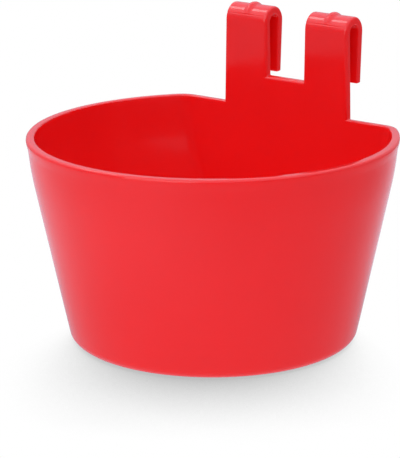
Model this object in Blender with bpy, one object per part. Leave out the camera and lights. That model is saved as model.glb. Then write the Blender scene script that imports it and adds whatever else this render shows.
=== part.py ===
"""Hook-on feeder cup for a poultry cage: one moulding in red plastic.

Metres, +Z up. The origin lies on the underside of the base, on the axis of the round bowl.
The flat back wall is on the +Y side, and its tab carries two hooks that go over a wire.
"""
import math

import bmesh
import bpy

MM = 0.001
NAME = "feeder_cup"

# Bowl, outside
RIM_RADIUS = 62.6 * MM
BOWL_HEIGHT = 70.5 * MM
LIP_HEIGHT = 3.2 * MM
LIP_STEP = 0.3 * MM
LIP_FADE = 0.8 * MM
COLLAR_HEIGHT = 12.0 * MM
COLLAR_LEAN = math.radians(6.6)
WALL_LEAN = math.radians(12.1)
LEAN_BLEND = 4.0 * MM
BACK_CUT = 18.1 * MM
CORNER_RADIUS = 9.0 * MM
BASE_ROUND = 4.0 * MM

# Bowl, wall and inside
WALL = 2.9 * MM
FLOOR = 2.9 * MM
INNER_BACK_DRAFT = math.radians(0.5)
INNER_ROUND = 4.0 * MM

# Radii on the edges: the long edges, and the finer ones inside the rim and at the hooks' tips
EDGE_ROUND = 1.0 * MM
FINE_ROUND = 0.5 * MM

# Tab above the rim
TAB_WIDTH = 51.8 * MM
GAP_WIDTH = 15.4 * MM
GAP_FLOOR_HEIGHT = 11.1 * MM
SIDE_DRAFT = math.radians(1.2)

# Hooks, bent over backwards at the top of the tab
HOOK_TOP_HEIGHT = 34.8 * MM
HOOK_SLOT = 5.0 * MM
HOOK_LEG_DROP = 23.5 * MM
HOOK_TIP_SLOT = 4.2 * MM
HOOK_TIP_THICKNESS = 2.7 * MM

# Bead that stiffens each bend
BEAD_WIDTH = 3.4 * MM
BEAD_HEIGHT = 0.8 * MM
BEAD_ROOT = 1.0 * MM
BEAD_FADE = 0.15 * MM

# Facets
ROUND_STEPS = 84
CORNER_STEPS = 7
FOOT_STEPS = 5
WALL_STEPS = 4
BLEND_STEPS = 3
BEND_STEPS = 14
BEVEL_STEPS = 2
BEAD_STEPS = 8
SHARP_ANGLE = math.radians(35.0)
LEAST_FLAT = 0.5 * MM
TOUCH = 0.01 * MM

# Plastic
PLASTIC_COLOR = (0.80, 0.008, 0.012, 1.0)
PLASTIC_ROUGHNESS = 0.22

# Derived sizes
BACK_DISTANCE = RIM_RADIUS - BACK_CUT
COLLAR_FOOT = BOWL_HEIGHT - COLLAR_HEIGHT
LIP_FOOT = BOWL_HEIGHT - LIP_HEIGHT
GAP_FLOOR = BOWL_HEIGHT + GAP_FLOOR_HEIGHT
HOOK_TOP = BOWL_HEIGHT + HOOK_TOP_HEIGHT
HOOK_TIP = HOOK_TOP - HOOK_LEG_DROP
TAB_FRONT = BACK_DISTANCE - WALL
TAB_HALF = TAB_WIDTH / 2
GAP_HALF = GAP_WIDTH / 2
HOOK_MIDDLE = (TAB_HALF + GAP_HALF) / 2
BEND_OUTER = HOOK_SLOT / 2 + WALL
BEND_Y = BACK_DISTANCE + HOOK_SLOT / 2
BEND_Z = HOOK_TOP - BEND_OUTER


def clear_scene():
    for obj in list(bpy.data.objects):
        bpy.data.objects.remove(obj, do_unlink=True)


def plastic_material():
    material = bpy.data.materials.new("red_plastic")
    material.use_nodes = True
    shader = material.node_tree.nodes["Principled BSDF"]
    shader.inputs["Base Color"].default_value = PLASTIC_COLOR
    shader.inputs["Roughness"].default_value = PLASTIC_ROUGHNESS
    shader.inputs["Metallic"].default_value = 0.0
    material.diffuse_color = PLASTIC_COLOR
    return material


def wall_radius(z):
    """Radius of the outer wall under the lip: the collar's lean, blended into the wall's."""
    collar_line = RIM_RADIUS - LIP_STEP - (BOWL_HEIGHT - z) * math.tan(COLLAR_LEAN)
    below = COLLAR_FOOT - z
    extra = math.tan(WALL_LEAN) - math.tan(COLLAR_LEAN)
    if below <= -LEAN_BLEND:
        return collar_line
    if below >= LEAN_BLEND:
        return collar_line - below * extra
    return collar_line - extra * (below + LEAN_BLEND) ** 2 / (4 * LEAN_BLEND)


def lip_rise(z):
    """How far the rim's lip stands out of the round wall at a height."""
    return LIP_STEP * min(max((z - LIP_FOOT) / LIP_FADE, 0.0), 1.0)


def foot_inset(height, lean, radius):
    """How far a rounded foot lies inside the line of its leaning wall, at a height up it."""
    if height >= radius * (1 - math.sin(lean)):
        return 0.0
    arc_centre = radius * (1 - math.sin(lean)) / math.cos(lean)
    arc = math.sqrt(radius ** 2 - (radius - height) ** 2)
    return height * math.tan(lean) + arc_centre - arc


def foot_heights(radius):
    """Heights of the steps up a rounded foot."""
    turns = [math.pi / 2 * step / FOOT_STEPS for step in range(FOOT_STEPS + 1)]
    return [radius * (1 - math.cos(turn)) for turn in turns]


def wall_heights(foot):
    """Heights of the steps up the straight wall, from above its foot to below the blend."""
    rise = (COLLAR_FOOT - LEAN_BLEND - foot) / WALL_STEPS
    return [foot + rise * step for step in range(1, WALL_STEPS)]


def blend_heights():
    """Heights of the steps through the blend between wall and collar, from below."""
    rise = 2 * LEAN_BLEND / BLEND_STEPS
    return [COLLAR_FOOT - LEAN_BLEND + rise * step for step in range(BLEND_STEPS + 1)]


def flat_half(radius, back, corner):
    """Half the width of the flat back, where its corners start to turn."""
    return math.sqrt((radius - corner) ** 2 - (back - corner) ** 2)


def plan_outline(radius, back, corner, z):
    """Bowl outline at a height: round front, flat back and two rounded corners.

    The points run from the left end of the flat back round the front to its right end, and
    back along the flat, with one point at each side of the tab and of the gap in it.
    """
    back = min(back, radius - LEAST_FLAT)
    centre_x = flat_half(radius, back, corner)
    centre_y = back - corner
    meet = math.atan2(centre_y, centre_x)
    turn = (math.pi / 2 - meet) / CORNER_STEPS
    sweep = (math.pi + 2 * meet) / ROUND_STEPS
    left = [(-centre_x, centre_y, corner, math.pi / 2 + turn * step) for step in range(CORNER_STEPS)]
    front = [(0.0, 0.0, radius, math.pi - meet + sweep * step) for step in range(ROUND_STEPS)]
    right = [(centre_x, centre_y, corner, meet + turn * step) for step in range(CORNER_STEPS + 1)]
    points = []
    for middle_x, middle_y, arc_radius, angle in left + front + right:
        points.append((middle_x + arc_radius * math.cos(angle), middle_y + arc_radius * math.sin(angle), z))
    narrowing = centre_x / flat_half(RIM_RADIUS, BACK_DISTANCE, CORNER_RADIUS)
    for edge in (TAB_HALF, GAP_HALF, -GAP_HALF, -TAB_HALF):
        points.append((edge * narrowing, back, z))
    return points


def outer_outline(z):
    radius = wall_radius(z) + lip_rise(z) - foot_inset(z, WALL_LEAN, BASE_ROUND)
    back = BACK_DISTANCE - foot_inset(z, 0.0, BASE_ROUND)
    return plan_outline(radius, back, CORNER_RADIUS, z)


def inner_outline(z):
    height = z - FLOOR
    radius = wall_radius(z) + LIP_STEP - WALL - foot_inset(height, WALL_LEAN, INNER_ROUND)
    drafted = (BOWL_HEIGHT - z) * math.tan(INNER_BACK_DRAFT)
    back = TAB_FRONT - drafted - foot_inset(height, 0.0, INNER_ROUND)
    return plan_outline(radius, back, CORNER_RADIUS - WALL, z)


def add_bowl(mesh):
    """Loft the bowl from its underside up the outside, over the rim and down to its floor."""
    outer_heights = foot_heights(BASE_ROUND) + wall_heights(BASE_ROUND) + blend_heights()
    outer_heights += [LIP_FOOT, LIP_FOOT + LIP_FADE, BOWL_HEIGHT]
    inner_heights = [FLOOR + height for height in foot_heights(INNER_ROUND)]
    inner_heights += wall_heights(FLOOR + INNER_ROUND) + blend_heights()
    outlines = [outer_outline(z) for z in outer_heights] + [inner_outline(BOWL_HEIGHT)]
    outlines += [inner_outline(z) for z in reversed(inner_heights)]
    rings = [[mesh.verts.new(point) for point in outline] for outline in outlines]
    for ring, following in zip(rings, rings[1:]):
        for index in range(len(ring)):
            before = index - 1
            mesh.faces.new((ring[before], ring[index], following[index], following[before]))
    mesh.faces.new(reversed(rings[0]))
    mesh.faces.new(rings[-1])


def tab_edge(z):
    """Half the tab's width at a height."""
    return TAB_HALF - (z - BOWL_HEIGHT) * math.tan(SIDE_DRAFT)


def gap_edge(z):
    """Half the gap's width at a height."""
    return GAP_HALF + max(z - GAP_FLOOR, 0.0) * math.tan(SIDE_DRAFT)


def tab_faces(mesh, z, low_x, high_x):
    """The level faces of the tab at a height whose middles lie between two places along X."""
    found = []
    for face in mesh.faces:
        middle = face.calc_center_median()
        level = all(abs(vert.co.z - z) < TOUCH for vert in face.verts)
        if level and TAB_FRONT < middle.y < BACK_DISTANCE and low_x < middle.x < high_x:
            found.append(face)
    return found


def region(faces):
    """Faces with their edges and corners, so that an extrusion leaves none of them inside."""
    edges = {edge for face in faces for edge in face.edges}
    corners = {vert for face in faces for vert in face.verts}
    return list(faces) + list(edges) + list(corners)


def extrude(mesh, faces):
    """Extrude faces in place, and give back the new corners at their ends."""
    extruded = bmesh.ops.extrude_face_region(mesh, geom=region(faces))["geom"]
    return [item for item in extruded if isinstance(item, bmesh.types.BMVert)]


def raise_tab(mesh, faces, z):
    """Extrude faces straight up to a height, with their sides on the drafted edges there."""
    for vert in extrude(mesh, faces):
        outside = abs(vert.co.x) > HOOK_MIDDLE
        vert.co.x = math.copysign(tab_edge(z) if outside else gap_edge(z), vert.co.x)
        vert.co.z = z


def bend_hook(mesh, face):
    """Spin the top of a leg over backwards, then draw it down to the tip of the hook."""
    bent = bmesh.ops.spin(mesh, geom=region([face]), cent=(0.0, BEND_Y, BEND_Z),
                          axis=(-1.0, 0.0, 0.0), angle=math.pi, steps=BEND_STEPS)["geom_last"]
    for vert in extrude(mesh, [item for item in bent if isinstance(item, bmesh.types.BMFace)]):
        inner = vert.co.y - BEND_Y < (HOOK_SLOT + WALL) / 2
        vert.co.y = BACK_DISTANCE + HOOK_TIP_SLOT + (0.0 if inner else HOOK_TIP_THICKNESS)
        vert.co.z = HOOK_TIP


def add_tab(mesh):
    """Raise the tab from the rim, then a hook on each side of the gap."""
    raise_tab(mesh, tab_faces(mesh, BOWL_HEIGHT, -TAB_HALF, TAB_HALF), GAP_FLOOR)
    for low_x, high_x in ((-TAB_HALF, -GAP_HALF), (GAP_HALF, TAB_HALF)):
        raise_tab(mesh, tab_faces(mesh, GAP_FLOOR, low_x, high_x), BEND_Z)
        bend_hook(mesh, tab_faces(mesh, BEND_Z, low_x, high_x)[0])


def is_fine(edge):
    """Whether an edge has the finer radius: in a corner, inside the rim, or at a hook's tip."""
    if edge.calc_face_angle_signed() < 0:
        return True
    if all(abs(vert.co.z - HOOK_TIP) < TOUCH for vert in edge.verts):
        return True
    place = (edge.verts[0].co + edge.verts[1].co) / 2
    inside = math.hypot(place.x, place.y) < RIM_RADIUS - WALL + TOUCH
    return abs(place.z - BOWL_HEIGHT) < TOUCH and inside and place.y < TAB_FRONT + TOUCH


def weigh_edges(mesh):
    """Give every sharp edge of the moulding its weight in the bevel."""
    bmesh.ops.recalc_face_normals(mesh, faces=mesh.faces[:])
    weight = mesh.edges.layers.float.new("bevel_weight_edge")
    for edge in mesh.edges:
        if edge.calc_face_angle(0.0) > SHARP_ANGLE:
            edge[weight] = FINE_ROUND / EDGE_ROUND if is_fine(edge) else 1.0


def round_edges(cup):
    """Round the weighted edges."""
    bevel = cup.modifiers.new("edge_round", "BEVEL")
    bevel.limit_method = "WEIGHT"
    bevel.width = EDGE_ROUND
    bevel.segments = BEVEL_STEPS


def finish_mesh(mesh, name, material):
    """Make an object from a bmesh, shaded smooth but for its sharp edges."""
    bmesh.ops.recalc_face_normals(mesh, faces=mesh.faces[:])
    data = bpy.data.meshes.new(name)
    mesh.to_mesh(data)
    mesh.free()
    data.materials.append(material)
    data.shade_smooth()
    data.set_sharp_from_angle(angle=SHARP_ANGLE)
    obj = bpy.data.objects.new(name, data)
    bpy.context.scene.collection.objects.link(obj)
    return obj


def make_cup(material):
    mesh = bmesh.new()
    add_bowl(mesh)
    add_tab(mesh)
    weigh_edges(mesh)
    cup = finish_mesh(mesh, NAME, material)
    round_edges(cup)
    return cup


def make_bead(side, material):
    """A low crowned rib over a hook's bend: highest on top, and sunk in at front and back."""
    crown_radius = BEND_OUTER - BEAD_FADE
    lift = BEAD_HEIGHT + BEAD_FADE
    arc_radius = ((BEAD_WIDTH / 2) ** 2 + BEAD_HEIGHT ** 2) / (2 * BEAD_HEIGHT)
    reach = math.asin(BEAD_WIDTH / 2 / arc_radius)
    profile = []
    for step in range(BEAD_STEPS + 1):
        angle = reach * (2 * step / BEAD_STEPS - 1)
        profile.append((arc_radius * math.sin(angle), crown_radius - arc_radius * (1 - math.cos(angle))))
    root = crown_radius - BEAD_HEIGHT - BEAD_ROOT
    profile += [(BEAD_WIDTH / 2, root), (-BEAD_WIDTH / 2, root)]
    middle_x = side * (tab_edge(HOOK_TOP) + gap_edge(HOOK_TOP)) / 2
    mesh = bmesh.new()
    verts = [mesh.verts.new((middle_x + x, BEND_Y - radius, BEND_Z + lift)) for x, radius in profile]
    face = mesh.faces.new(verts)
    bmesh.ops.spin(mesh, geom=region([face]), cent=(0.0, BEND_Y, BEND_Z + lift),
                   axis=(-1.0, 0.0, 0.0), angle=math.pi, steps=BEND_STEPS)
    bead = finish_mesh(mesh, "bead_left" if side < 0 else "bead_right", material)
    bead.hide_render = True
    bead.display_type = "WIRE"
    return bead


def join_bead(cup, bead):
    """Unite a bead with the moulding it belongs to."""
    union = cup.modifiers.new(bead.name, "BOOLEAN")
    union.operation = "UNION"
    union.solver = "EXACT"
    union.object = bead


def main():
    clear_scene()
    material = plastic_material()
    cup = make_cup(material)
    for side in (-1, 1):
        join_bead(cup, make_bead(side, material))


main()
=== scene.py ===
"""Hook-on feeder cup for a poultry cage, in glossy red plastic, on a pale floor.

Metres, +Z up. The origin lies on the underside of the base, on the axis of the round bowl.
The flat back wall is on the +Y side, and the hooks of its tab go over a cage wire.
"""

import math

import bmesh
import bpy
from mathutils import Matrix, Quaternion, Vector


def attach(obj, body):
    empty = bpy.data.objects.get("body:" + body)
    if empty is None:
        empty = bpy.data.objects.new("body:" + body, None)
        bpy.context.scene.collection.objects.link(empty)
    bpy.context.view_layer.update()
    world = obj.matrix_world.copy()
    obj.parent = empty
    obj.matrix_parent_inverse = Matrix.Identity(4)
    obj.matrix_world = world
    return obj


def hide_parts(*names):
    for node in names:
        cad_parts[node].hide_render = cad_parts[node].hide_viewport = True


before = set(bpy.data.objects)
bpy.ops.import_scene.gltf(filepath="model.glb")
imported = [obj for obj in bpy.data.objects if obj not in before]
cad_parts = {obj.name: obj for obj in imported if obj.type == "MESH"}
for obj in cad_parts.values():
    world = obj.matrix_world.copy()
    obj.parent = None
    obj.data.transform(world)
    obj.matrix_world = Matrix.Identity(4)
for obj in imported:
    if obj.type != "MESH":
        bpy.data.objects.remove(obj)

bl_info = {
    "name": "Poultry feeder cup",
    "version": (1, 0, 0),
    "blender": (4, 5, 0),
    "location": "3D View > Sidebar > Feeder cup",
    "description": "Models a hook-on feeder cup for a poultry cage, and a stage to show it on",
    "category": "Add Mesh",
}

MM = 0.001
NODE = "feeder_cup"
BODY = "root"
CUP_NAME = "cup_moulding"
FLOOR_NAME = "floor"

# How finely curves are divided
ROUND_STEPS = 160
CORNER_STEPS = 10
WALL_STEPS = 7
FOOT_STEPS = 8
BLEND_STEPS = 6
BEND_STEPS = 24
EDGE_STEPS = 3
BEAD_COLUMNS = 12
SHARP_ANGLE = math.radians(35.0)
# Points closer than this are taken to be at one place
TOUCH = 0.01 * MM
# The plane that is merged into the first point of an outline
SPECK = 0.1 * MM
# Two loops in one plane bridge with a twist, so the inner rim is drawn this far too high
RIM_LIFT = 8.0 * MM
# Each bend of the lip's underside reaches over this share of the height in which it runs out
LIP_BLEND = 0.45
# The columns under a bead reach this far to each side of its middle, as a share of its width
BEAD_REACH = 0.62
BEAD_GROUP = "bead"

# Nearly all of a noise pattern lies between these levels
NOISE_SPAN = (0.3, 0.7)
# Places of a Mix node's two inputs and of its output, for each type of value
MIX_SOCKETS = {"FLOAT": (2, 3, 0), "RGBA": (6, 7, 2)}
WHITE = (1.0, 1.0, 1.0, 1.0)
SHADOW_SAMPLES = 16
# In metres: the floor's size, and from where to where its level changes in the gloss on the cup
FLOOR_SIZE = 8.0
SIDE_SPAN = (0.0, 0.143)
FOOT_SPAN = (0.055, 0.12)
FAR_SPAN = (0.22, 0.42)
# Parts of a direction, upwards or towards the camera, between which the room's level changes
ROOM_SPAN = (0.1, 0.9)
LOW_SPAN = (0.1, 0.35)
CAMERA_SPAN = (0.0, 0.6)
# Each lamp's name, its place and width in metres, and the setting that holds its power
LAMPS = (("key", (0.1, -1.4, 0.55), 1.2, "key_power"),
         ("side", (-0.81, -0.46, 1.04), 0.9, "side_power"),
         ("glint", (-0.81, -0.07, 1.14), 0.36, "glint_power"))


def linear(hex_colour):
    """Linear colour, with alpha, from an sRGB hex value."""
    channels = [int(hex_colour[start:start + 2], 16) / 255 for start in (1, 3, 5)]
    return [c / 12.92 if c <= 0.04045 else ((c + 0.055) / 1.055) ** 2.4 for c in channels] + [1.0]


def length(name, millimetres, description):
    """A length that a user can change, given here in millimetres."""
    return bpy.props.FloatProperty(name=name, description=description, default=millimetres * MM,
                                   min=0.0, precision=4, unit="LENGTH")


def angle(name, degrees, description):
    """An angle that a user can change, given here in degrees."""
    return bpy.props.FloatProperty(name=name, description=description,
                                   default=math.radians(degrees), subtype="ANGLE", unit="ROTATION")


def colour(name, hex_colour, description):
    """A colour that a user can change, given here as an sRGB hex value."""
    return bpy.props.FloatVectorProperty(name=name, description=description, size=4, min=0.0,
                                         default=linear(hex_colour), subtype="COLOR")


def factor(name, share, description):
    """A share or a strength that a user can change."""
    return bpy.props.FloatProperty(name=name, description=description, default=share, min=0.0)


class FeederCupSettings(bpy.types.PropertyGroup):
    """Sizes and colour of the cup."""

    rim_radius: length("Rim radius", 62.6, "Outer radius of the round bowl at its rim")
    bowl_height: length("Bowl height", 70.5, "From the underside of the base to the rim")
    lip_height: length("Lip height", 3.8, "Height of the low lip along the rim")
    lip_step: length("Lip step", 0.3, "How far the lip stands out of the round wall")
    lip_fade: length("Lip fade", 1.8, "Height in which the underside of the lip runs out")
    collar_height: length("Collar height", 12.0, "Upper part of the wall, which leans less")
    collar_lean: angle("Collar lean", 6.6, "Lean of the collar, from upright")
    wall_lean: angle("Wall lean", 12.1, "Lean of the wall below the collar, from upright")
    blend: length("Collar blend", 4.0, "How far the bend between wall and collar reaches each way")
    back_cut: length("Back cut", 18.1, "How much of the round bowl the flat back wall cuts off")
    corner_radius: length("Corner radius", 9.0, "Upright corners between round wall and flat wall")
    base_round: length("Base round", 4.0, "Radius between the wall and the base, outside")
    wall: length("Wall", 2.9, "Thickness of the walls, of the tab and of the hooks")
    floor: length("Floor", 2.9, "Thickness of the base")
    inner_round: length("Inner round", 4.0, "Radius between the wall and the base, inside")
    inner_draft: angle("Inner draft", 0.5, "Draft of the flat wall's inner face")
    edge_round: length("Edge round", 1.0, "Radius of the long edges")
    fine_round: length("Fine round", 0.5, "Radius in corners, inside rim and slots, at the tips")
    tab_width: length("Tab width", 51.8, "Width of the tab at the rim")
    gap_width: length("Gap width", 15.4, "Width of the gap between the hooks, at its floor")
    gap_floor: length("Gap floor", 11.1, "Height of the floor of the gap above the rim")
    side_draft: angle("Side draft", 1.2, "Draft of the upright edges of the tab")
    hook_top: length("Hook top", 34.8, "Height of the hooks above the rim")
    hook_slot: length("Hook slot", 5.0, "Clear width inside the bend of a hook")
    hook_drop: length("Hook drop", 23.5, "From the top of a hook down to its tip")
    tip_slot: length("Tip slot", 4.2, "Clear width of the slot at the tip of a hook")
    tip_thickness: length("Tip thickness", 2.7, "Thickness of a hook at its tip")
    bead_width: length("Bead width", 3.4, "Width of the bead over each bend")
    bead_height: length("Bead height", 0.8, "Height of the bead at the top of the bend")
    bead_fade: length("Bead fade", 0.5, "How deep the bead's ends run out into the bend")
    seam_turn: angle("Seam turn", 27.0, "Where the mould's fine seam crosses a bend, from its foot")
    seam_depth: length("Seam depth", 0.09, "Depth of the seam")
    plastic: colour("Plastic", "#F22024", "Colour of the plastic")


class FeederStageSettings(bpy.types.PropertyGroup):
    """Camera, lights and floor."""

    target: bpy.props.FloatVectorProperty(name="Target", description="What the camera looks at",
                                          default=[place * MM for place in (-3.14, -3.26, 37.46)],
                                          precision=4, unit="LENGTH")
    azimuth: angle("Azimuth", 36.96, "Where the camera stands round the cup, from its front")
    elevation: angle("Elevation", 15.75, "How far the camera stands above the horizon")
    roll: angle("Roll", -0.34, "Turn of the camera about its line of sight")
    distance: length("Distance", 867.7, "From the camera to the point it looks at")
    focal_length: factor("Focal length", 202.0, "In millimetres, on a frame 36 mm on its long side")
    low_light: factor("Low light", 0.2, "Level of the room's light on the cup near the horizon")
    high_light: factor("High light", 1.03, "Level of the room's light on the cup high up")
    low_gloss: factor("Low gloss", 0.71, "Level that the gloss shows of the room near the horizon")
    high_gloss: factor("High gloss", 1.73, "Level that the gloss shows of the room high up")
    camera_side: factor("Camera side", 0.3, "Share of that level low down behind the camera")
    table: factor("Table", 0.96, "Level of the light that the pale floor throws up at the cup")
    # Painted reflection: the next four settings set the floor's level in the cup's gloss, brighter
    # left, dimmer right, darker at the foot and far off; the tint below colours floor and room in
    # the gloss
    bright_gloss: factor("Bright gloss", 0.82, "Level that the gloss shows of the floor, left")
    dim_gloss: factor("Dim gloss", 0.48, "Level that the gloss shows of the floor, right")
    foot_gloss: factor("Foot gloss", 0.75, "Share of that level at the foot of the cup")
    far_gloss: factor("Far gloss", 0.5, "Share of that level far from the cup")
    gloss_tint: colour("Gloss tint", "#F2EEFF", "Tint of what the gloss shows")
    # The five shadow settings paint the floor's shadow: they lean, turn and limit the ambient
    # occlusion that darkens its glow, and set its levels; no lamp casts it
    shadow_lean: angle("Shadow lean", 65.0, "Lean of the light that casts the shadow, from upright")
    shadow_turn: angle("Shadow turn", 5.0, "Turn of that light from straight behind, to the right")
    shadow_reach: length("Shadow reach", 80.0, "From how far off the cup still shades the floor")
    shadow_level: factor("Shadow level", 0.146, "Level of the floor where no such light reaches it")
    open_share: factor("Open share", 0.683, "Share of that light at which the floor shows white")
    key_power: factor("Key power", 5.6, "Power of the lamp in front, in watts")
    side_power: factor("Side power", 1.2, "Power of the soft box up at the left, in watts")
    glint_power: factor("Glint power", 1.4, "Power of the small lamp up at the left, in watts")


def middle(item):
    """The middle of a vertex, an edge or a face."""
    if isinstance(item, bmesh.types.BMVert):
        return item.co
    return sum((vert.co for vert in item.verts), Vector()) / len(item.verts)


def at_height(item, z):
    """Whether every corner of a vertex, an edge or a face is at one height."""
    verts = [item] if isinstance(item, bmesh.types.BMVert) else item.verts
    return all(abs(vert.co.z - z) < TOUCH for vert in verts)


def select(kind, test):
    """Select, in edit mode, just the shown vertices, edges or faces that pass a test."""
    bpy.ops.mesh.select_mode(type=kind)
    bpy.ops.mesh.select_all(action="DESELECT")
    data = bpy.context.edit_object.data
    mesh = bmesh.from_edit_mesh(data)
    items = {"VERT": mesh.verts, "EDGE": mesh.edges, "FACE": mesh.faces}[kind]
    found = [item for item in items if not item.hide and test(item)]
    if not found:
        raise RuntimeError("nothing to select here")
    for item in found:
        item.select_set(True)
    mesh.select_flush_mode()
    bmesh.update_edit_mesh(data)


def extrude(offset):
    """Extrude what is selected, and move it."""
    bpy.ops.mesh.extrude_region_move(TRANSFORM_OT_translate={"value": offset})


def bevel(width, steps):
    """Round what is selected."""
    bpy.ops.mesh.bevel(offset=width, offset_type="OFFSET", segments=steps, profile=0.5,
                       affect="EDGES", clamp_overlap=False)


def back_y(cup):
    """Where the outside of the flat back wall lies along Y."""
    return cup.rim_radius - cup.back_cut


def collar_foot(cup):
    """Height of the bend between the wall and its collar."""
    return cup.bowl_height - cup.collar_height


def gap_height(cup):
    """Height of the floor of the gap between the hooks."""
    return cup.bowl_height + cup.gap_floor


def tip_height(cup):
    """Height of the tips of the hooks."""
    return cup.bowl_height + cup.hook_top - cup.hook_drop


def bend_radius(cup):
    """Outer radius of the hooks' bend."""
    return cup.hook_slot / 2 + cup.wall


def bend_centre(cup):
    """The middle of the axis that the hooks bend round."""
    z = cup.bowl_height + cup.hook_top - bend_radius(cup)
    return Vector((0.0, back_y(cup) + cup.hook_slot / 2, z))


def hook_middle_x(cup):
    """How far the middle of a hook lies from the middle of the cup, at any height."""
    tab_edge = cup.tab_width / 2 - cup.gap_floor * math.tan(cup.side_draft)
    return (tab_edge + cup.gap_width / 2) / 2


def wall_radius(cup, z):
    """Radius of the outer wall under the lip, at a height."""
    below_rim = cup.bowl_height - z
    below_collar = max(below_rim - cup.collar_height, 0.0)
    in_collar = below_rim - below_collar
    radius = cup.rim_radius - cup.lip_step - in_collar * math.tan(cup.collar_lean)
    return radius - below_collar * math.tan(cup.wall_lean)


def outer_outline(cup, z, lip=0.0):
    """Height, radius, place of the flat back and corner radius, on the outside of the wall."""
    return z, wall_radius(cup, z) + lip, back_y(cup), cup.corner_radius


def inner_outline(cup, z):
    """Height, radius, place of the flat back and corner radius, on the inside of the wall."""
    draft = (cup.bowl_height - z) * math.tan(cup.inner_draft)
    back = back_y(cup) - cup.wall - draft
    return z, wall_radius(cup, z) + cup.lip_step - cup.wall, back, cup.corner_radius - cup.wall


def wall_heights(cup, foot):
    """Heights of the outlines from the foot of the wall up to the collar."""
    rise = (collar_foot(cup) - foot) / WALL_STEPS
    return [foot + rise * step for step in range(WALL_STEPS + 1)]


def draw_outline(outline):
    """Draw one outline of the bowl: spin a corner, the round front and the other corner."""
    z, radius, back, corner = outline
    corner_y = back - corner
    corner_x = math.sqrt((radius - corner) ** 2 - corner_y ** 2)
    meet = math.atan2(corner_y, corner_x)
    turn = math.pi / 2 - meet
    bpy.ops.mesh.select_mode(type="VERT")
    bpy.ops.mesh.select_all(action="DESELECT")
    bpy.ops.mesh.primitive_plane_add(size=SPECK, location=(corner_x, back, z))
    bpy.ops.mesh.merge(type="CENTER")
    for steps, sweep, centre in ((CORNER_STEPS, turn, (corner_x, corner_y, z)),
                                 (ROUND_STEPS, math.pi + 2 * meet, (0.0, 0.0, z)),
                                 (CORNER_STEPS, turn, (-corner_x, corner_y, z))):
        bpy.ops.mesh.spin(steps=steps, angle=sweep, center=centre, axis=(0.0, 0.0, 1.0))
    select("VERT", lambda vert: at_height(vert, z) and len(vert.link_edges) == 1)
    bpy.ops.mesh.edge_face_add()


def loft(outlines):
    """Draw outlines one above the other, and bridge each to the one before."""
    for number, outline in enumerate(outlines):
        draw_outline(outline)
        if number:
            levels = (outlines[number - 1][0], outline[0])
            select("EDGE", lambda edge: any(at_height(edge, z) for z in levels))
            bpy.ops.mesh.bridge_edge_loops()


def model_bowl(cup):
    """Loft the outside and the inside of the bowl, join them at the rim and close both ends."""
    lip_foot = cup.bowl_height - cup.lip_height
    lip_face = lip_foot + cup.lip_fade
    outer = [outer_outline(cup, z) for z in (*wall_heights(cup, 0.0), lip_foot)]
    lip = [outer_outline(cup, z, cup.lip_step) for z in (lip_face, cup.bowl_height)]
    loft(outer + lip)
    bpy.ops.mesh.select_all(action="SELECT")
    bpy.ops.mesh.hide()
    lifted = cup.bowl_height + RIM_LIFT
    inner = [inner_outline(cup, z) for z in wall_heights(cup, cup.floor)]
    loft(inner + [(lifted, *inner_outline(cup, cup.bowl_height)[1:])])
    bpy.ops.mesh.reveal()
    select("EDGE", lambda edge: at_height(edge, cup.bowl_height) or at_height(edge, lifted))
    bpy.ops.mesh.bridge_edge_loops()
    select("VERT", lambda vert: at_height(vert, lifted))
    bpy.ops.transform.translate(value=(0.0, 0.0, -RIM_LIFT))
    for z in (0.0, cup.floor):
        select("EDGE", lambda edge: at_height(edge, z))
        bpy.ops.mesh.edge_face_add()
    bpy.ops.mesh.select_all(action="SELECT")
    bpy.ops.mesh.normals_make_consistent(inside=False)
    half_turn = (math.pi / 2 - cup.wall_lean) / 2
    lip_blend = LIP_BLEND * cup.lip_fade
    for z, width, steps in ((0.0, cup.base_round * math.tan(half_turn), FOOT_STEPS),
                            (cup.floor, cup.inner_round * math.tan(half_turn), FOOT_STEPS),
                            (collar_foot(cup), cup.blend, BLEND_STEPS),
                            (lip_foot, lip_blend, EDGE_STEPS),
                            (lip_face, lip_blend, EDGE_STEPS)):
        select("EDGE", lambda edge: at_height(edge, z))
        bevel(width, steps)


def cut_across(places):
    """Cut the selected faces across at places along X, keeping every part."""
    chosen = [middle(face) for face in bmesh.from_edit_mesh(bpy.context.edit_object.data).faces
              if face.select]
    low_y = min(place.y for place in chosen)
    z = chosen[0].z
    for x in places:
        select("FACE", lambda face: at_height(face, z) and middle(face).y > low_y - TOUCH)
        bpy.ops.mesh.bisect(plane_co=(x, 0.0, 0.0), plane_no=(1.0, 0.0, 0.0))


def model_tab(cup):
    """Raise the tab from the rim of the flat wall, then a leg on each side of the gap."""
    half_tab = cup.tab_width / 2
    half_gap = cup.gap_width / 2
    gap_z = gap_height(cup)
    bend_z = bend_centre(cup).z
    draft = math.tan(cup.side_draft)
    tab_middle_y = back_y(cup) - cup.wall / 2
    hook_x = hook_middle_x(cup)

    def on_strip(face, z):
        return at_height(face, z) and abs(middle(face).y - tab_middle_y) < cup.wall / 4

    select("FACE", lambda face: on_strip(face, cup.bowl_height))
    cut_across((-half_tab, half_tab))
    select("FACE", lambda face: on_strip(face, cup.bowl_height) and abs(middle(face).x) < half_tab)
    extrude((0.0, 0.0, cup.gap_floor))
    narrowing = 1 - cup.gap_floor * draft / half_tab
    bpy.ops.transform.resize(value=(narrowing, 1.0, 1.0), center_override=(0.0, 0.0, gap_z))
    cut_across((-half_gap, half_gap))
    select("FACE", lambda face: on_strip(face, gap_z) and abs(middle(face).x) > half_gap)
    extrude((0.0, 0.0, bend_z - gap_z))
    narrowing = 1 - (bend_z - gap_z) * draft / (hook_x - half_gap)
    for side in (-1, 1):
        select("FACE", lambda face: on_strip(face, bend_z) and middle(face).x * side > 0)
        bpy.ops.transform.resize(value=(narrowing, 1.0, 1.0),
                                 center_override=(side * hook_x, 0.0, bend_z))


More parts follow.
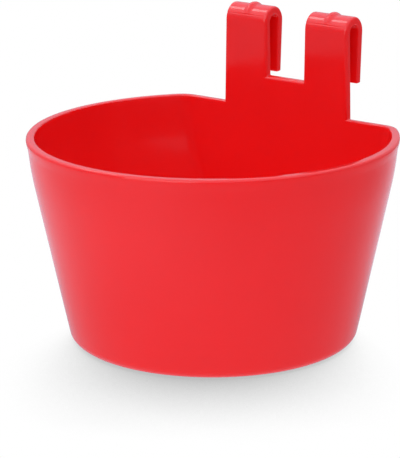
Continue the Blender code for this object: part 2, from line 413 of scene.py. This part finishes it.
def model_hooks(cup):
    """Cut columns for a bead into each leg, spin it over backwards and draw it down to its tip."""
    centre = bend_centre(cup)
    tip_z = tip_height(cup)
    reach = BEAD_REACH * cup.bead_width
    for side in (-1, 1):
        x = side * hook_middle_x(cup)
        columns = [x + reach * (2 * step / BEAD_COLUMNS - 1) for step in range(BEAD_COLUMNS + 1)]
        select("FACE", lambda face: at_height(face, centre.z) and middle(face).x * side > 0)
        cut_across(columns)
    select("FACE", lambda face: at_height(face, centre.z) and middle(face).y < centre.y)
    bpy.ops.mesh.spin(steps=BEND_STEPS, angle=math.pi, center=centre, axis=(1.0, 0.0, 0.0))
    select("FACE", lambda face: at_height(face, centre.z) and middle(face).y > centre.y)
    extrude((0.0, 0.0, tip_z - centre.z))
    hook_y = back_y(cup) + cup.hook_slot
    tip_y = back_y(cup) + cup.tip_slot
    for old_y, new_y in ((hook_y, tip_y), (hook_y + cup.wall, tip_y + cup.tip_thickness)):
        select("VERT", lambda vert: at_height(vert, tip_z) and abs(vert.co.y - old_y) < TOUCH)
        bpy.ops.transform.translate(value=(0.0, new_y - old_y, 0.0))


def sink_seams(cup):
    """Sink the fine seam that the two halves of the mould leave across the front of each bend.

    It takes up one step of the bend, whose rings are marked sharp, so that shading ends at them.
    """
    centre = bend_centre(cup)
    outer = bend_radius(cup)
    step = math.pi / BEND_STEPS
    valley = cup.seam_turn

    def arm(item):
        place = middle(item)
        return Vector((centre.y - place.y, place.z - centre.z))

    def on_front(item):
        return min(arm(item)) > 0.0 and arm(item).length > outer - cup.wall / 4

    def on_ring(vert, turn):
        reach = arm(vert)
        return on_front(vert) and abs(math.atan2(reach.y, reach.x) - turn) < TOUCH / outer

    select("FACE", on_front)
    bpy.ops.mesh.bisect(plane_co=centre, plane_no=(0.0, math.sin(valley), math.cos(valley)))
    for turn in (math.floor(valley / step) * step, valley, math.ceil(valley / step) * step):
        select("EDGE", lambda edge: all(on_ring(vert, turn) for vert in edge.verts))
        bpy.ops.mesh.mark_sharp()
    select("VERT", lambda vert: on_ring(vert, valley))
    bpy.ops.transform.translate(value=(0.0, cup.seam_depth * math.cos(valley),
                                       -cup.seam_depth * math.sin(valley)))


def bead_rise(cup, place):
    """How far the bead stands out of the bend at a place on its outside, as a share."""
    centre = bend_centre(cup)
    arm = Vector((place.y - centre.y, place.z - centre.z))
    if place.z < centre.z + TOUCH or abs(arm.length - bend_radius(cup)) > cup.wall / 4:
        return 0.0
    crown = (cup.bead_height + cup.bead_fade) * arm.y / arm.length - cup.bead_fade
    half = cup.bead_width / 2
    arc = (half ** 2 + cup.bead_height ** 2) / (2 * cup.bead_height)
    across = abs(abs(place.x) - hook_middle_x(cup))
    drop = arc - math.sqrt(max(arc ** 2 - across ** 2, 0.0))
    return max(crown - drop, 0.0) / cup.bead_height


def raise_beads(cup, piece):
    """Push the middle of each bend outwards into a crowned bead, by a weighted displacement."""
    group = piece.vertex_groups.new(name=BEAD_GROUP)
    for vert in piece.data.vertices:
        rise = bead_rise(cup, vert.co)
        if rise > 0.0:
            group.add([vert.index], rise, "REPLACE")
    bpy.ops.object.modifier_add(type="DISPLACE")
    displace = piece.modifiers[-1]
    displace.direction = "NORMAL"
    displace.strength = cup.bead_height
    displace.mid_level = 0.0
    displace.vertex_group = group.name
    bpy.ops.object.modifier_apply(modifier=displace.name)
    bpy.ops.object.vertex_group_remove(all=True)


def is_inside_rim(cup, edge):
    """Whether an edge runs along the inside of the rim."""
    place = middle(edge)
    in_round = math.hypot(place.x, place.y) < cup.rim_radius - cup.wall + TOUCH
    before_back = place.y < back_y(cup) - cup.wall + TOUCH
    return at_height(edge, cup.bowl_height) and in_round and before_back


def is_fine(cup, edge):
    """Whether an edge has the finer radius: in a corner, inside the rim or a slot, or at a tip."""
    place = middle(edge)
    from_back = place.y - back_y(cup)
    in_slot = place.z > gap_height(cup) and -TOUCH < from_back < cup.hook_slot + TOUCH
    in_corner = edge.calc_face_angle_signed() < 0.0
    return in_corner or is_inside_rim(cup, edge) or in_slot or at_height(edge, tip_height(cup))


def finish_edges(cup):
    """Round every sharp edge of the moulding by its weight, and shade it smooth between them."""
    bpy.ops.object.mode_set(mode="EDIT")
    bpy.ops.mesh.select_all(action="SELECT")
    bpy.ops.mesh.normals_make_consistent(inside=False)
    bpy.ops.mesh.select_mode(type="EDGE")
    bpy.ops.mesh.select_all(action="DESELECT")
    bpy.ops.mesh.edges_select_sharp(sharpness=SHARP_ANGLE)
    bpy.ops.transform.edge_bevelweight(value=1.0)
    select("EDGE", lambda edge: edge.calc_face_angle(0.0) > SHARP_ANGLE and is_fine(cup, edge))
    bpy.ops.transform.edge_bevelweight(value=cup.fine_round / cup.edge_round - 1.0)
    bpy.ops.object.mode_set(mode="OBJECT")
    bpy.ops.object.modifier_add(type="BEVEL")
    rounding = bpy.context.object.modifiers[-1]
    rounding.limit_method = "WEIGHT"
    rounding.width = cup.edge_round
    rounding.segments = EDGE_STEPS
    rounding.use_clamp_overlap = False
    bpy.ops.object.modifier_apply(modifier=rounding.name)
    bpy.ops.object.shade_smooth_by_angle(angle=SHARP_ANGLE)
    bpy.ops.object.modifier_add(type="WEIGHTED_NORMAL")
    weighted = bpy.context.object.modifiers[-1]
    weighted.keep_sharp = True
    bpy.ops.object.modifier_apply(modifier=weighted.name)


def add_node(tree, kind, feeds=(), **settings):
    """Add a node with its settings, and feed its inputs, by their names or in their order.

    Each feed is the output of another node or a plain value.
    """
    node = tree.nodes.new(kind)
    for name, value in settings.items():
        setattr(node, name, value)
    for name, feed in feeds.items() if isinstance(feeds, dict) else enumerate(feeds):
        if isinstance(feed, bpy.types.NodeSocket):
            tree.links.new(feed, node.inputs[name])
        else:
            node.inputs[name].default_value = feed
    return node


def new_tree(item):
    """The emptied node tree of a new material or world."""
    item.use_nodes = True
    item.node_tree.nodes.clear()
    return item.node_tree


def moulded_polypropylene(cup):
    """Glossy red polypropylene, injection moulded in a polished tool.

    The polished steel gives a smooth gloss whose reflections waver a little, because the wall
    shrinks unevenly as it cools. A very fine orange peel softens them, and a little light
    travels inside the plastic, so thin edges glow.
    """
    material = bpy.data.materials.new("moulded_polypropylene_red")
    tree = new_tree(material)
    place = add_node(tree, "ShaderNodeTexCoord").outputs["Object"]
    # Size in millimetres and detail of the waver, of the peel and of the swirl in the colour
    waver, peel, swirl = [
        add_node(tree, "ShaderNodeTexNoise",
                 {"Vector": place, "Scale": 1 / (size * MM), "Detail": detail}).outputs["Fac"]
        for size, detail in ((14.0, 2.0), (0.9, 2.0), (30.0, 4.0))]
    # Range of the shade, as a share of the colour, and of the roughness
    shade, gloss = [
        add_node(tree, "ShaderNodeMapRange", (swirl, *NOISE_SPAN, first, last),
                 interpolation_type="SMOOTHSTEP").outputs["Result"]
        for first, last in ((0.97, 1.0), (0.09, 0.13))]
    tint = add_node(tree, "ShaderNodeVectorMath", {0: cup.plastic[:3], "Scale": shade},
                    operation="SCALE")
    waves = add_node(tree, "ShaderNodeBump", {"Height": waver, "Distance": 0.05 * MM})
    skin = add_node(tree, "ShaderNodeBump", {"Height": peel, "Distance": 0.002 * MM,
                                             "Normal": waves.outputs["Normal"]})
    shader = add_node(tree, "ShaderNodeBsdfPrincipled",
                      {"Base Color": tint.outputs["Vector"], "Roughness": gloss, "IOR": 1.49,
                       "Normal": skin.outputs["Normal"], "Subsurface Weight": 0.8,
                       "Subsurface Radius": (1.0, 0.12, 0.1), "Subsurface Scale": 5.0 * MM})
    add_node(tree, "ShaderNodeOutputMaterial", {"Surface": shader.outputs["BSDF"]})
    return material


def from_camera_side(stage, lift=0.0, swing=0.0):
    """Direction from the cup to the side where the camera stands, raised and turned by angles."""
    turn = stage.azimuth - math.pi / 2 + swing
    flat = math.cos(lift)
    return Vector((math.cos(turn) * flat, math.sin(turn) * flat, math.sin(lift)))


def by_ray(tree, kind, light, gloss, view):
    """One level or colour for rays that light the cup, one for its gloss and one for the camera."""
    rays = add_node(tree, "ShaderNodeLightPath").outputs
    direct = add_node(tree, "ShaderNodeMath", (rays["Is Camera Ray"], rays["Is Transmission Ray"]),
                      operation="MAXIMUM").outputs["Value"]
    first, second, result = MIX_SOCKETS[kind]
    mixed = light
    for share, other in ((rays["Is Glossy Ray"], gloss), (direct, view)):
        mixed = add_node(tree, "ShaderNodeMix", {0: share, first: mixed, second: other},
                         data_type=kind).outputs[result]
    return mixed


def opal_table(stage):
    """Cast opal acrylic sheet of a light table: evenly pale, with a painted soft neutral shadow on
    it.

    The camera sees it white, with a painted shadow: its glow is darkened by ambient occlusion
    round a normal leaned away from the camera, where the cup is near; no lamp casts it. The gloss
    on the cup shows a painted reflection of it: brighter left, dimmer right, darker at the cup's
    foot and dimmer further away. The cup itself is lit by its even glow.
    """
    material = bpy.data.materials.new("opal_acrylic_white")
    tree = new_tree(material)
    # Painted shadow: occlusion round this leaned normal darkens the floor's glow; no lamp casts it
    lean = from_camera_side(stage, math.pi / 2 + stage.shadow_lean, -stage.shadow_turn)
    aim = add_node(tree, "ShaderNodeCombineXYZ", lean)
    occlusion = add_node(tree, "ShaderNodeAmbientOcclusion",
                         {"Normal": aim.outputs["Vector"], "Distance": stage.shadow_reach},
                         samples=SHADOW_SAMPLES)
    shadow = add_node(tree, "ShaderNodeMapRange",
                      {"Value": occlusion.outputs["AO"], "From Max": stage.open_share,
                       "To Min": stage.shadow_level})
    place = add_node(tree, "ShaderNodeTexCoord").outputs["Object"]
    across = add_node(tree, "ShaderNodeSeparateXYZ", {"Vector": place}).outputs["X"]
    away = add_node(tree, "ShaderNodeVectorMath", (place,), operation="LENGTH").outputs["Value"]
    # Painted reflection: the floor's level in the cup's gloss, brighter left, dimmer right, darker
    # at the foot and far off
    gloss, foot, far = [
        add_node(tree, "ShaderNodeMapRange", (value, *span, first, last),
                 interpolation_type="SMOOTHSTEP").outputs["Result"]
        for value, span, first, last in (
            (across, SIDE_SPAN, stage.bright_gloss, stage.dim_gloss),
            (away, FOOT_SPAN, stage.foot_gloss, 1.0),
            (away, FAR_SPAN, 1.0, stage.far_gloss))]
    for share in (foot, far):
        gloss = add_node(tree, "ShaderNodeMath", (gloss, share),
                         operation="MULTIPLY").outputs["Value"]
    # Even glow for rays that light the cup, painted reflection for the gloss, painted shadow for
    # the camera
    level = by_ray(tree, "FLOAT", stage.table, gloss, shadow.outputs["Result"])
    tint = by_ray(tree, "RGBA", WHITE, stage.gloss_tint, WHITE)
    glow = add_node(tree, "ShaderNodeEmission", {"Color": tint, "Strength": level})
    add_node(tree, "ShaderNodeOutputMaterial", {"Surface": glow.outputs["Emission"]})
    return material


def light_room(stage):
    """Soft light from all round and more from above, seen by the camera as plain white.

    The gloss on the cup shows the room dimmer low down on the side where the camera stands.
    """
    world = bpy.data.worlds.new("studio")
    tree = new_tree(world)
    aim = add_node(tree, "ShaderNodeTexCoord").outputs["Generated"]
    height = add_node(tree, "ShaderNodeSeparateXYZ", {"Vector": aim}).outputs["Z"]
    to_camera = add_node(tree, "ShaderNodeVectorMath", (aim, from_camera_side(stage)),
                         operation="DOT_PRODUCT").outputs["Value"]
    light, room, by_height, by_side = [
        add_node(tree, "ShaderNodeMapRange", (value, *span, first, last),
                 interpolation_type="SMOOTHSTEP").outputs["Result"]
        for value, span, first, last in (
            (height, ROOM_SPAN, stage.low_light, stage.high_light),
            (height, ROOM_SPAN, stage.low_gloss, stage.high_gloss),
            (height, LOW_SPAN, stage.camera_side, 1.0),
            (to_camera, CAMERA_SPAN, 1.0, stage.camera_side))]
    share = add_node(tree, "ShaderNodeMath", (by_height, by_side),
                     operation="MAXIMUM").outputs["Value"]
    gloss = add_node(tree, "ShaderNodeMath", (room, share), operation="MULTIPLY").outputs["Value"]
    level = by_ray(tree, "FLOAT", light, gloss, 1.0)
    tint = by_ray(tree, "RGBA", WHITE, stage.gloss_tint, WHITE)
    backdrop = add_node(tree, "ShaderNodeBackground", {"Color": tint, "Strength": level})
    add_node(tree, "ShaderNodeOutputWorld", {"Surface": backdrop.outputs["Background"]})
    bpy.context.scene.world = world


class FEEDER_OT_mould_cup(bpy.types.Operator):
    """Model the feeder cup: bowl, flat back wall, tab and both hooks, in one moulding"""

    bl_idname = "feeder.mould_cup"
    bl_label = "Mould feeder cup"
    bl_options = {"REGISTER", "UNDO"}

    def execute(self, context):
        cup = context.scene.feeder_cup
        bpy.ops.object.select_all(action="DESELECT")
        bpy.ops.object.add(type="MESH", location=(0.0, 0.0, 0.0))
        piece = context.object
        piece.name = CUP_NAME
        piece.data.name = CUP_NAME
        bpy.ops.object.mode_set(mode="EDIT")
        model_bowl(cup)
        model_tab(cup)
        model_hooks(cup)
        sink_seams(cup)
        bpy.ops.object.mode_set(mode="OBJECT")
        raise_beads(cup, piece)
        finish_edges(cup)
        piece.data.materials.append(moulded_polypropylene(cup))
        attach(piece, BODY)
        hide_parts(NODE)
        return {"FINISHED"}


class FEEDER_OT_set_stage(bpy.types.Operator):
    """Set up the floor, the soft light and the camera"""

    bl_idname = "feeder.set_stage"
    bl_label = "Set stage"
    bl_options = {"REGISTER", "UNDO"}

    def execute(self, context):
        stage = context.scene.feeder_stage
        context.scene.view_settings.view_transform = "Standard"
        bpy.ops.object.select_all(action="DESELECT")
        bpy.ops.mesh.primitive_plane_add(size=FLOOR_SIZE, location=(0.0, 0.0, 0.0))
        ground = context.object
        ground.name = FLOOR_NAME
        ground.data.materials.append(opal_table(stage))
        light_room(stage)
        for name, place, width, setting in LAMPS:
            self.add_light(name, place, width, getattr(stage, setting))
        self.add_camera(stage)
        return {"FINISHED"}

    @staticmethod
    def add_light(name, place, width, power):
        """Add a square soft lamp that faces the foot of the cup."""
        bpy.ops.object.light_add(type="AREA", location=place)
        lamp = bpy.context.object
        lamp.name = name
        lamp.data.size = width
        lamp.data.energy = power
        lamp.rotation_euler = (-Vector(place)).to_track_quat("-Z", "Y").to_euler()

    @staticmethod
    def add_camera(stage):
        """Add the camera at the photograph's viewing angle, and make it the scene's camera."""
        away = from_camera_side(stage, stage.elevation)
        bpy.ops.object.camera_add(location=Vector(stage.target) + away * stage.distance)
        camera = bpy.context.object
        facing = (-away).to_track_quat("-Z", "Y")
        camera.rotation_euler = (facing @ Quaternion((0.0, 0.0, 1.0), stage.roll)).to_euler()
        camera.data.lens = stage.focal_length
        bpy.context.scene.camera = camera


class FEEDER_PT_panel(bpy.types.Panel):
    """Settings of the cup and of its stage, and the buttons that make them"""

    bl_label = "Feeder cup"
    bl_idname = "FEEDER_PT_panel"
    bl_space_type = "VIEW_3D"
    bl_region_type = "UI"
    bl_category = "Feeder cup"

    def draw(self, context):
        layout = self.layout
        for group in (context.scene.feeder_cup, context.scene.feeder_stage):
            box = layout.box()
            for name in group.__annotations__:
                box.prop(group, name)
        layout.operator(FEEDER_OT_mould_cup.bl_idname)
        layout.operator(FEEDER_OT_set_stage.bl_idname)


CLASSES = (FeederCupSettings, FeederStageSettings, FEEDER_OT_mould_cup, FEEDER_OT_set_stage,
           FEEDER_PT_panel)


def register():
    for item in CLASSES:
        bpy.utils.register_class(item)
    bpy.types.Scene.feeder_cup = bpy.props.PointerProperty(type=FeederCupSettings)
    bpy.types.Scene.feeder_stage = bpy.props.PointerProperty(type=FeederStageSettings)


def unregister():
    del bpy.types.Scene.feeder_stage
    del bpy.types.Scene.feeder_cup
    for item in reversed(CLASSES):
        bpy.utils.unregister_class(item)


def main():
    """Make the cup and its stage."""
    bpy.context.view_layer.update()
    register()
    bpy.ops.feeder.mould_cup()
    bpy.ops.feeder.set_stage()
    bpy.context.view_layer.update()


if __name__ == "__main__":
    main()
